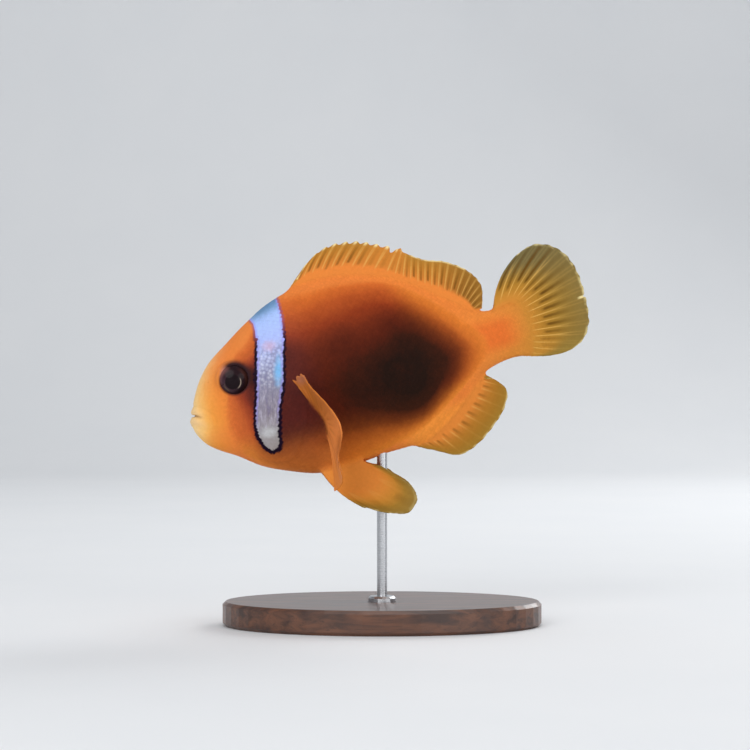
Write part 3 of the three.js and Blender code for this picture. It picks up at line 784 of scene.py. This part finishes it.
class Paint:
    """A material written node by node: each call adds nodes and gives their result."""

    def __init__(self, name):
        self.material = bpy.data.materials.new(name)
        self.material.use_nodes = True
        self.tree = self.material.node_tree
        self.shader = self.tree.nodes["Principled BSDF"]

    def feed(self, socket, value):
        """Gives a socket its value: a signal, a number or vector, or the name of a colour."""
        if isinstance(value, Signal):
            self.tree.links.new(value.socket, socket)
        else:
            socket.default_value = colour(COLOURS[value]) if isinstance(value, str) else value

    def node(self, kind, output, inputs, **settings):
        """Adds a node with its inputs by name or number, and gives one of its outputs."""
        node = self.tree.nodes.new("ShaderNode" + kind)
        for key, value in settings.items():
            setattr(node, key, value)
        for key, value in inputs.items():
            self.feed(node.inputs[key], value)
        return Signal(self, node.outputs[output])

    def field(self, name):
        """A point attribute of the mesh."""
        return self.node("Attribute", "Fac", {}, attribute_name=name)

    def math(self, operation, a, b=0.0):
        return self.node("Math", 0, {0: a, 1: b}, operation=operation)

    def step(self, low, high, value):
        """An easy step from 0 at low to 1 at high; low may be the greater."""
        rising = low < high
        inputs = {
            "Value": value, "From Min": min(low, high), "From Max": max(low, high),
            "To Min": float(not rising), "To Max": float(rising),
        }
        return self.node("MapRange", "Result", inputs, interpolation_type="SMOOTHSTEP")

    def band(self, value, low, full, ebb, high):
        """An easy step up from low to full, and down again from ebb to high."""
        return self.step(low, full, value) * self.step(high, ebb, value)

    def mix(self, share, a, b, blend="MIX"):
        return self.node("Mix", 2, {0: share, 6: a, 7: b}, data_type="RGBA", blend_type=blend)

    def lay(self, base, **shares):
        """Lays colours over a base, one after another, each by its share."""
        for name, share in shares.items():
            base = self.mix(share, base, name)
        return base

    def place(self, scale=None):
        """Places on the piece, in metres, stretched along its axes."""
        here = self.node("TexCoord", "Object", {})
        return self.node("Mapping", 0, {"Vector": here, "Scale": scale}) if scale else here

    def noise(self, size, detail, rough=0.55, stretch=None, distortion=0.0):
        """Noise with features about size millimetres across."""
        inputs = {"Vector": self.place(stretch), "Scale": 1 / (size * MM), "Detail": detail,
                  "Roughness": rough, "Distortion": distortion}
        return self.node("TexNoise", "Fac", inputs)

    def cells(self, size):
        inputs = {"Vector": self.place(), "Scale": 1 / (size * MM)}
        return self.node("TexVoronoi", "Distance", inputs)

    def ramp(self, value, stops):
        found = self.node("ValToRGB", "Color", {0: value})
        elements = found.socket.node.color_ramp.elements
        while len(elements) < len(stops):
            elements.new(0.5)
        for element, (place, *parts) in zip(elements, stops):
            element.position = place
            element.color = colour(parts)
        return found

    def spot(self, name):
        """1 in the middle of one of the SPOTS, 0 outside it."""
        x, z, width, height, lean, ragged, _ = SPOTS[name]
        up = self.field("height") - z
        along = (self.field("length") - x - up * lean) / width
        up = up / height
        across = self.math("SQRT", along * along + up * up)
        return self.step(1.2, 0.1, across + (self.noise(1.1, 2) - 0.5) * ragged)

    def dab(self, base, *names):
        """Lays some of the SPOTS on a base, each in the colour of the same name."""
        return self.lay(base, **{name: self.spot(name) * SPOTS[name][-1] for name in names})

    def luck(self, number):
        """A value from 0 to 1 that each whole number keeps."""
        return self.node("TexWhiteNoise", "Value", {"W": number}, noise_dimensions="1D")

    def bump(self, height, strength, distance):
        inputs = {"Height": height, "Strength": strength, "Distance": distance * MM}
        self.set(Normal=self.node("Bump", "Normal", inputs))

    def set(self, **values):
        for key, value in values.items():
            self.feed(self.shader.inputs[key.replace("_", " ")], value)


def paint_body(p, length, height, wander, drift):
    """The orange ground, with the flank darkening over it, and the dark round the eye. Painted
    light and shade are laid in too: a highlight along the head's outline, a lighter low rear belly,
    light added to the front of the flank, shade behind the eye and a sheen on the eye's upper
    front.
    """
    chin = p.step(-3, -7, height) * 2.2
    grain = p.noise(0.9, 3, 0.6, (1, 1, 0.35))
    ground = p.lay(
        p.ramp((length + chin) * 0.01, GROUND),
        stalk=p.band(length, 66, 73, 78, 85) * p.band(height, -8, -4, -1, 3),
        # A lighter, yellower band low on the rear belly: painted light where the belly faces down.
        vent=p.step(-14, -18, height) * p.step(44, 52, length),
        # Painted highlight: a pale edge along the head's outline, broken by streaky grain.
        snout=p.field("snout") * (grain + 0.35) * p.step(-9, -3, height),
        lip=p.field("lip") * 0.55,
    )
    dark = p.field("shade") + wander * 0.1 + drift * 0.1
    dark = dark * p.step(0, 0.12, p.field("shade"))
    low = p.math("MAXIMUM", p.step(-7, -13, height), p.step(53, 61, length) * 0.55)
    flank = p.mix(low, p.ramp(dark, FLANK_ABOVE), p.ramp(dark, FLANK_BELOW))
    flank = p.mix(p.step(36, 26, length), flank, FRONT_LIFT, "ADD")
    # Painted shade behind the eye.
    body = p.dab(p.mix(p.step(0, 0.16, dark), ground, flank), "hollow")
    # The dark round the eye, with a paler painted sheen on its upper front.
    return p.mix(p.field("orbit"), body, p.mix(p.spot("veil"), "orbit", "veil"))


def paint_bar(p, body, height, wander, pearl):
    """The bar behind the head: pearly blue above, pale cells below, in a black margin."""
    bar = p.field("bar") + wander * 0.25
    near = bar + p.step(-4, -10, height) * 0.3
    grain = p.noise(0.8, 3, 0.6, (1, 1, 0.22))
    cells, low = p.band(height, -2, 4.5, 9, 12.5), p.band(height, -10, -6, 1, 6)
    blue = p.lay(
        p.ramp((height + 14) / 36, BAR_COLOURS),
        bar_pearl=p.step(0.5, 0.1, pearl) * cells * 0.45,
        bar_gap=p.step(0.45, 0.75, pearl) * cells * 0.5,
        bar_line=p.step(0.48, 0.36, grain) * low * 0.4,
        bar_streak=p.step(0.45, 0.7, grain) * low * 0.6,
    )
    blue = p.lay(
        p.dab(blue, "bar_blue", "bar_rosy", "bar_tip"),
        # Painted shade where the bar rounds over the back, near its top edge.
        bar_crest=p.step(16, 20, height) * p.step(0.75, 0.05, p.field("crest")) * 0.9,
        bar_fringe=p.step(0.75, 0.15, bar) * p.step(-9, -2, height) * 0.6,
    )
    body = p.lay(
        body,
        bar_margin=p.step(-0.85, -0.45, near) * p.step(17, 11.5, height),
        bar_halo=p.step(-0.8, -0.1, bar) * p.step(11, 15, height) * 0.6,
    )
    return p.mix(p.step(-0.1, 0.1, bar), body, blue)


def paint_fins(p, body, height, wander):
    """The fins: each its own colours, pale along the rays, with dark streaks between them that are
    partly painted shade; the pectoral fin's painted light and shade, and painted rim light on the
    margins.
    """
    ray, reach, kind = p.field("ray"), p.field("reach"), p.field("kind")
    out = p.field("out") + wander * 0.08
    fin = p.ramp(out, FIN_COLOURS[0])
    for number, stops in enumerate(FIN_COLOURS[1:], 1):
        fin = p.mix(p.step(number - 0.6, number - 0.4, kind), fin, p.ramp(out, stops))
    dorsal = p.step(0.6, 0.4, kind)
    tail = p.band(kind, 1.4, 1.6, 2.4, 2.6)
    pectoral = p.band(kind, 2.4, 2.6, 3.4, 3.6)

    # The parts of the dorsal and tail fins that differ, and the pectoral fin's painted light and
    # shade: brighter than its own colour, with painted shadow along its front edge and painted
    # shade low at its rear.
    calm = dorsal * p.step(3.2, 1, abs(ray - CALM_RAY))
    top, low = tail * p.step(8, 1.5, ray), tail * p.step(10.5, 15, ray)
    fin = p.lay(
        fin,
        dorsal_calm=calm * (p.step(0, 0.3, out) * 0.75),
        dorsal_rear=dorsal * p.step(15, 22, ray) * p.step(-0.1, 0.15, out) * 0.85,
        tail_top=top * p.step(0.2, 0.75, out),
        tail_low=low * p.step(0.75, 0.3, out),
        tail_low_rim=low * p.step(0.4, 0.9, out),
    )
    glow = p.lay(
        "pectoral",
        pectoral_top=p.step(-13, -5, height),
        pectoral_root=p.step(-18, -24, height),
    )
    # Painted shadow along the front edge and painted shade on the rear.
    glow = p.dab(glow, "pectoral_tip", "pectoral_front", "pectoral_rear")
    fin = p.mix(pectoral * 0.8, fin, glow)

    # Dark streaks between the rays, partly the fins' own and partly painted shade beside each ray,
    # each begun at a slightly different share out.
    web_luck, ray_luck = p.luck(p.math("FLOOR", ray)), p.luck(p.math("ROUND", ray))
    streak = p.field("streak") * (1 - calm * 0.7) * (1 - low)
    begin = out - (p.field("start") + web_luck * 0.17)
    web = abs(p.math("FRACT", ray) - p.field("lean")) / p.field("lean")
    web = p.step(0.55, 0.1, web + wander * 0.3)
    fade = p.step(0.72, 0.1, begin / p.field("run"))
    zone = p.step(0, 0.1, begin) * p.mix(top, fade, p.step(1.2, 0.3, begin))

    # Pale lines along the rays, forked where the rays are.
    off = abs(ray - p.math("ROUND", ray))
    ridge = p.step(0.13, 0.02, abs(off - p.step(0.4, 0.8, reach) * p.field("fork")))
    past = p.step(1, 0.3, (out + ray_luck * 0.3) / p.field("run")) * 0.85 + 0.12
    ridge = ridge * p.step(-0.05, 0.1, out) * past

    # Painted rim light and glints: the pale margin, the dorsal spines' pale tips and the torn tip
    # of the tail.
    rim = p.step(0.95, 0.995, reach) * p.field("edge") * p.step(0.6, 0.4, p.noise(2.2, 2))
    tips = p.step(0.88, 0.98, reach) * p.step(0.22, 0.06, off) * (dorsal * p.step(12, 9, ray))
    torn = p.step(0.15, 0.06, abs(ray - TORN_RAY)) * tail * p.step(0.86, 0.94, reach)
    fin = p.lay(
        fin,
        fin_streak=web * zone * (streak * (web_luck * 0.35 + 0.6)),
        fin_ray=ridge * p.field("streak") * 0.62,
        fin_rim=p.math("MAXIMUM", rim, p.math("MAXIMUM", tips, torn) * 0.8),
    )
    return p.mix(p.field("fin"), body, fin)


def paint_fish(name, coat):
    """The fish's colours, for the skin and for the scales over it."""
    p = Paint(name)
    fine, pearl = p.noise(0.7, 3), p.cells(0.85)
    wander, drift = p.noise(1.3, 4, 0.65) - 0.5, p.noise(6, 3) - 0.5
    length, height = p.field("length"), p.field("height")
    body = paint_body(p, length, height, wander, drift)
    body = paint_bar(p, body, height, wander, pearl)
    body = paint_fins(p, body, height, wander)
    # Painted shade along the mouth's crease.
    body = p.lay(body, crease=p.field("crease") * 0.6)
    mottle = p.mix(fine, (0.9, 0.88, 0.86, 1), (1.08, 1.08, 1.08, 1))
    body = p.mix(1, body, mottle, "MULTIPLY")
    if coat:
        tint = p.mix(p.field("tint"), (0.96, 0.955, 0.95, 1), (1.04, 1.04, 1.04, 1))
        body = p.mix(1, body, tint, "MULTIPLY")
        body = p.mix(p.step(0.7, 1, p.field("rim")) * 0.12, body, "scale_edge", "MULTIPLY")
    p.set(Base_Color=body, Roughness=0.48, Specular_IOR_Level=0.05)
    p.bump(fine + pearl * 0.4, 0.25, 0.05)
    return p.material


def paint_eye():
    """A glossy dark eye: a plum iris and a dark pupil, with painted light: paler in front and at
    the lower rear edge, a painted sheen on the upper front, a thin pale crescent of painted
    highlight behind the pupil and a faint painted glint low in front.
    """
    p = Paint("eye_paint")
    radius, angle = p.field("radius"), p.field("angle")

    def toward(bearing, low, high):
        """A step up towards a bearing from the pupil, in radians from the rear."""
        return p.step(low, high, p.math("COSINE", angle - bearing))

    # Painted light on the iris's front and lower rear edge, a painted sheen on its upper front, and
    # a painted highlight and glint beside the pupil.
    base = p.lay(
        "iris",
        iris_fleck=p.noise(0.35, 3),
        iris_front=toward(-2.8, -0.3, 1) * 0.85,
        iris_rear=toward(-0.7, -0.2, 0.6) * p.step(2.7, 3.4, radius) * 0.85,
        iris_veil=toward(2.4, 0.5, 1) * p.step(2.3, 3.8, radius) * 0.85,
        pupil=p.step(1.95, 1.7, radius),
        crescent=p.band(radius, 1.78, 1.95, 2, 2.18) * (toward(-0.5, 0.66, 1) * 0.6),
        glint=p.band(radius, 2.05, 2.2, 2.25, 2.45) * (toward(-2.63, 0.85, 1) * 0.16),
    )
    p.set(Base_Color=base, Roughness=0.3, Coat_Weight=0.1, Coat_Roughness=0.05,
          Specular_IOR_Level=0.05)
    return p.material


def paint_wood():
    """Dark stained wood with a satin varnish, its grain along the base."""
    p = Paint("stained_wood")
    grain = p.noise(2.2, 6, 0.6, (0.09, 1, 1), 0.6)
    pores = p.noise(0.45, 3, 0.6, (0.06, 1, 1))
    base = p.lay("wood_dark", wood_light=p.step(0.3, 0.7, grain),
                 wood_pore=p.step(0.56, 0.72, pores) * 0.6)
    p.set(Base_Color=base, Roughness=pores * 0.14 + 0.3, Coat_Weight=0.35, Coat_Roughness=0.18)
    p.bump(grain * 0.4 + pores, 0.2, 0.06)
    return p.material


def paint_steel():
    """Brushed steel, its fine marks round the rod."""
    p = Paint("brushed_steel")
    marks = p.noise(0.5, 4, 0.7, (0.15, 0.15, 5))
    base = p.lay("steel_dark", steel_light=marks)
    p.set(Base_Color=base, Metallic=1, Roughness=marks * 0.16 + 0.2)
    p.bump(marks, 0.15, 0.02)
    return p.material


# ---- Pieces ----
FLESH = [
    "head", "lower_jaw", "gill_cover_left", "gill_cover_right", "trunk", "tail_stalk",
    "dorsal_fin_spiny", "dorsal_fin_soft", "anal_fin", "tail_fin", "pectoral_fin_left",
    "pectoral_fin_right", "pelvic_fin_left", "pelvic_fin_right",
]
# A scale is a thin lens along the body, its front edge under the scale ahead of it.
SPOKES = 12
INNER_RING = 0.62  # how far out the ring of points within it is
HALF_LENGTH, HALF_WIDTH = 0.95, 0.68  # for a pitch of 1
SETBACK = 0.25  # how far behind its root its middle is, in half-lengths
TAPER = 0.12  # how much narrower its rear is
SCALE_THICK = 0.05
LARGE_PITCH = 1.15  # the pitch at which the next three are true
RISE = 0.15  # how far its rear edge stands above its front edge
SINK = 0.05  # how far its front edge lies under the skin
DOME = 0.035  # how much higher its middle is
ROW_STEP = 0.56  # from one row of scales to the next, for a pitch of 1
STRAY, TURN, SPREAD = 0.045, 0.05, 0.05  # how much scales differ in place, bearing and size
ROOT, REARWARD, STEP, GIRTH = slice(0, 3), slice(3, 6), 6, 7  # columns of a table of scales
# Where the scales on the tail fin's root lie: x, top, bottom and half-width, as in the stations.
COAT_TAIL = np.array([STATIONS[-3], (85, 4.4, -9.4, 1.3), (90, 7, -10.4, 0.8)])
TAIL_ROOT = 82  # where the body's own stations are left for these
SCALE_REACH = 0.9  # a root that has to move further than this to the skin gets no scale
SNOUT_LIFT = 0.4  # how far scales stand off towards the snout, as a share of the rest
UNWRAP_LENGTH, UNWRAP_MARGIN = 105, 0.02  # the unwrapped skin's length in millimetres, and edge
PATCH_SIZE = 0.003  # a scale's width on the unwrapped skin


def settle(piece, material, slot, *nodes):
    """Gives a finished piece its paint and its body, and hides the CAD nodes that it stands for.
    The slot is not used.
    """
    piece.data.materials.append(material)
    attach(piece, "root")
    if nodes:
        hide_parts(*nodes)


def make_skin():
    clay, body = make_clay()
    points, quads = clay.mesh()
    skin = new_mesh("skin", to_row(points), quads, fields(points, body))
    settle(skin, paint_fish("skin_paint", False), "skin", *FLESH)
    return clay, body


def scale_shape():
    """A scale's template: how far along and across each point is, its ring, and the triangles."""
    turn = np.arange(SPOKES) * 2 * np.pi / SPOKES
    ring = np.stack([np.cos(turn), np.sin(turn)], -1)
    flat = np.concatenate([[[0, 0]], ring * INNER_RING, ring, [[0, 0]]])
    depth = np.concatenate([[0], np.full(SPOKES, INNER_RING), np.ones(SPOKES), [0]])
    under = 1 + 2 * SPOKES
    triangles = []
    for i in range(SPOKES):
        inner, inner_next = 1 + i, 1 + (i + 1) % SPOKES
        outer, outer_next = inner + SPOKES, inner_next + SPOKES
        triangles += [(0, inner, inner_next), (inner, outer, outer_next),
                      (inner, outer_next, inner_next), (under, outer_next, outer)]
    return flat, depth, np.array(triangles)


def scale_pitch(x):
    """From one scale to the next along the body: small on the head and towards the tail."""
    places = [6, 12, 21, 31, 55, 72, 82, 90]
    return np.interp(x, places, [0.6, 0.66, 0.86, 1.15, 1.15, 0.95, 0.75, 0.5])


def scale_ring(x, rows, side):
    """The places of rows of scales at x, which are on the body, and their shares of its girth."""
    top, bottom, half = profile(x, COAT_TAIL) if x > TAIL_ROOT else profile(x)
    angle = np.radians(np.linspace(-88, 88, 177))
    y = np.cos(angle) ** SECTION_POWER * half
    z = (top + bottom) / 2 + np.sin(angle) * (top - bottom) / 2
    length = np.concatenate([[0], np.cumsum(np.hypot(np.diff(y), np.diff(z)))])
    length -= length[len(length) // 2]
    off = rows * ROW_STEP * float(scale_pitch(x))
    inside = (off > length[0]) & (off < length[-1])
    share = 0.5 + off / max(length[-1] - length[0], 1e-6)
    parts = [np.full(len(rows), x), side * np.interp(off, length, y), np.interp(off, length, z)]
    return np.stack(parts, -1), inside, share


def lattice(start, stop, side):
    """A table of scales in staggered rows: root, way to the rear, pitch, and share of the girth."""
    rng = np.random.default_rng(11 if side < 0 else 12)
    x = np.linspace(start, stop, 800)
    count = np.concatenate([[0], np.cumsum(np.diff(x) / scale_pitch(x[:-1]))])
    rows = np.arange(-70, 71)
    found = []
    for j in np.arange(0, count[-1], 0.5):
        here = float(np.interp(j, count, x))
        mine = rows[(rows % 2) == (int(round(2 * j)) % 2)]
        root, inside, share = scale_ring(here, mine, side)
        behind = scale_ring(here + 0.4, mine, side)[0]
        pitch = np.full(len(mine), scale_pitch(here))
        found.append(np.column_stack([root, behind - root, pitch, share])[inside])
    table = np.concatenate(found)
    table[:, ROOT] += rng.normal(0, STRAY, (len(table), 3)) * table[:, [STEP]]
    table[:, REARWARD] = unit(table[:, REARWARD]) + rng.normal(0, TURN, (len(table), 3))
    return table


def bare(x, z):
    """Where the fish has no scales: snout, lips, chin, round the eye, and the nostrils."""
    eye = np.hypot((x - 13.2) / 4.5, (z - 6.3) / 4.5) < 1
    snout = x < 8.2 + 0.05 * (z + 2) ** 2 * (z > -2)
    return eye | snout


def plant(name, table, clay, body):
    """A piece of the coat: a scale at each root, laid on the skin, its rear edge standing off."""
    flat, depth, triangles = scale_shape()
    root, normal = to_skin(clay, table[:, ROOT])
    moved = np.linalg.norm(root - table[:, ROOT], axis=1)
    kept = (moved < SCALE_REACH) & (np.abs(clay.sample(root)) < 0.05)
    table, root, normal = table[kept], root[kept], normal[kept]
    rearward, pitch = table[:, REARWARD], table[:, STEP]
    along = unit(rearward - normal * dot(rearward, normal)[:, None])
    across = np.cross(normal, along)
    rng = np.random.default_rng(len(table))
    grow = 1 + rng.normal(0, SPREAD, len(table))
    length, width = HALF_LENGTH * pitch * grow, HALF_WIDTH * pitch * grow
    a, b = flat.T
    spread = (root[:, None] + along[:, None] * (length[:, None] * (a + SETBACK))[..., None]
              + across[:, None] * (width[:, None] * b * (1 - TAPER * a))[..., None])
    points, slope = to_skin(clay, spread.reshape(-1, 3), 2)
    lift = RISE * (a + 1) / 2 - SINK + DOME * (1 - depth**2)
    calm = lerp(SNOUT_LIFT, 1, smooth(8, 13, table[:, [0]]))
    lift = (pitch / LARGE_PITCH)[:, None] * lift * calm
    lift[:, -1] -= SCALE_THICK
    points = points + slope * lift.reshape(-1, 1)
    size = len(flat)
    faces = (np.arange(len(table))[:, None, None] * size + triangles).reshape(-1, 3)
    data = fields(points, body)
    centre = fields(root, body)["bar"]
    # Where the bar's margin crosses a scale, the scale keeps mostly to its root's side of it.
    data["bar"] = 0.4 * data["bar"] + 0.6 * np.repeat(centre, size)
    data["tint"] = np.repeat(rng.random(len(table)), size)
    data["rim"] = np.tile(depth * (0.35 + 0.65 * (a > -0.2)), len(table))
    piece = new_mesh(name, to_row(points), faces, data)
    split_rims(piece.data, size)
    unwrap(piece.data, table, flat, faces)
    settle(piece, bpy.data.materials.get("scale_paint") or paint_fish("scale_paint", True), "skin")


def split_rims(mesh, size):
    """Marks the edges round each scale as sharp, so that its top is shaded apart from the rest."""
    ends = np.empty(len(mesh.edges) * 2, np.int32)
    mesh.edges.foreach_get("vertices", ends)
    place = ends.reshape(-1, 2) % size
    rim = (place >= 1 + SPOKES).all(1) & (place < 1 + 2 * SPOKES).all(1)
    mesh.attributes.new("sharp_edge", "BOOLEAN", "EDGE").data.foreach_set("value", rim)


def unwrap(mesh, table, flat, faces):
    """Each scale is a small patch at its root's place on the unwrapped skin: length by girth."""
    girth = np.clip(table[:, GIRTH], UNWRAP_MARGIN, 1 - UNWRAP_MARGIN)
    place = np.stack([table[:, 0] / UNWRAP_LENGTH + UNWRAP_MARGIN, girth], -1)
    patch = place[:, None] + flat[None] * PATCH_SIZE / 2
    corners = patch.reshape(-1, 2)[faces.ravel()]
    mesh.uv_layers.new(name="OFBake").data.foreach_set("uv", corners.astype(np.float32).ravel())


def make_coat(clay, body):
    for word, side in SIDES:
        head = lattice(7, 22, side)
        head = head[~bare(head[:, 0], head[:, 2])]
        plant("scales_head_" + word, head, clay, body)
        plant("scales_flank_" + word, lattice(22, 56, side), clay, body)
        plant("scales_tail_" + word, lattice(56, 89, side), clay, body)


def make_eye(word, side):
    """An eyeball turned about its own axis, with the pupil a little forward and down."""
    rings, columns = 64, 96
    polar, turn = np.linspace(0, np.pi, rings + 1)[:, None], circle(columns)
    x = EYE["x"] + EYE["radius"] * np.sin(polar) * np.cos(turn)
    z = EYE["z"] + EYE["radius"] * np.sin(polar) * np.sin(turn)
    y = side * (EYE["y"] + EYE["depth"] * np.cos(polar)) + 0 * turn
    points = np.stack([x, y, z], -1).reshape(-1, 3)
    dx, dz = points[:, 0] - PUPIL["x"], points[:, 2] - PUPIL["z"]
    quads = ring_quads(rings + 1, columns)
    quads = quads if side > 0 else quads[:, ::-1]
    data = {"radius": np.hypot(dx, dz), "angle": np.arctan2(dz, dx)}
    ball = new_mesh("eyeball_" + word, to_row(points), quads, data)
    settle(ball, paint_eye(), "eye", "eye_" + word)


def make_stand():
    for name, paint in (("stand_base", paint_wood), ("stand_rod", paint_steel)):
        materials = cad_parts[name].data.materials
        materials.clear()
        materials.append(paint())


# ---- Stage ----
VIEW = {"target": (-1.72, -4, 61.2), "distance": 600, "width": 182, "elevation": 0.5}
SENSOR = 36
LIGHTS = {  # place, size and power
    "key": ((-0.4, -0.95, 0.5), 0.8, 5.5),
    "fill": ((0.7, -0.85, 0.15), 0.9, 4.3),
    "top": ((0.05, 0.1, 1), 0.8, 2.6),
    "rim": ((0.5, 0.6, 0.5), 0.5, 3),
}
SKY = (0.92, 0.95, 1, 1)
SKY_STRENGTH = 0.43


def make_camera():
    data = bpy.data.cameras.new("camera")
    data.sensor_width = SENSOR
    data.lens = SENSOR * VIEW["distance"] / VIEW["width"]
    data.clip_start = 0.01
    camera = add_object("camera", data)
    tilt = math.radians(VIEW["elevation"])
    target = Vector(VIEW["target"]) * MM
    away = Vector((0, -math.cos(tilt), math.sin(tilt))) * VIEW["distance"] * MM
    camera.location = target + away
    camera.rotation_euler = (math.pi / 2 - tilt, 0, 0)
    bpy.context.scene.camera = camera


def make_floor():
    """A pale floor that sweeps up behind into a backdrop."""
    radius, back, height, half = 0.35, 0.75, 2.2, 3.0
    turn = np.linspace(0, np.pi / 2, 24)
    line = [(-half, 0.0)]
    line += [(back + radius * math.sin(t), radius * (1 - math.cos(t))) for t in turn]
    line.append((back + radius, height))
    points = [(side * half, y, z) for side in (-1, 1) for y, z in line]
    count = len(line)
    quads = np.array([(i, i + count, i + count + 1, i + 1) for i in range(count - 1)])
    floor = new_mesh("floor", np.array(points), quads)
    p = Paint("pale_floor")
    p.set(Base_Color=p.lay("floor", floor_light=p.noise(60, 2)), Roughness=0.8)
    floor.data.materials.append(p.material)


def make_lights():
    for name, (place, size, power) in LIGHTS.items():
        data = bpy.data.lights.new(name, "AREA")
        data.shape = "DISK"
        data.size = size
        data.energy = power
        light = add_object(name, data)
        light.location = place
        aim = Vector((0, 0, 0.06)) - Vector(place)
        light.rotation_euler = aim.to_track_quat("-Z", "Y").to_euler()
    world = bpy.data.worlds.new("studio")
    world.use_nodes = True
    background = world.node_tree.nodes["Background"]
    background.inputs["Color"].default_value = SKY
    background.inputs["Strength"].default_value = SKY_STRENGTH
    bpy.context.scene.world = world
    bpy.context.scene.view_settings.view_transform = "Standard"


make_camera()
make_floor()
make_lights()
make_stand()
for eye_word, eye_side in SIDES:
    make_eye(eye_word, eye_side)
skin_clay, bare_body = make_skin()
make_coat(skin_clay, bare_body)
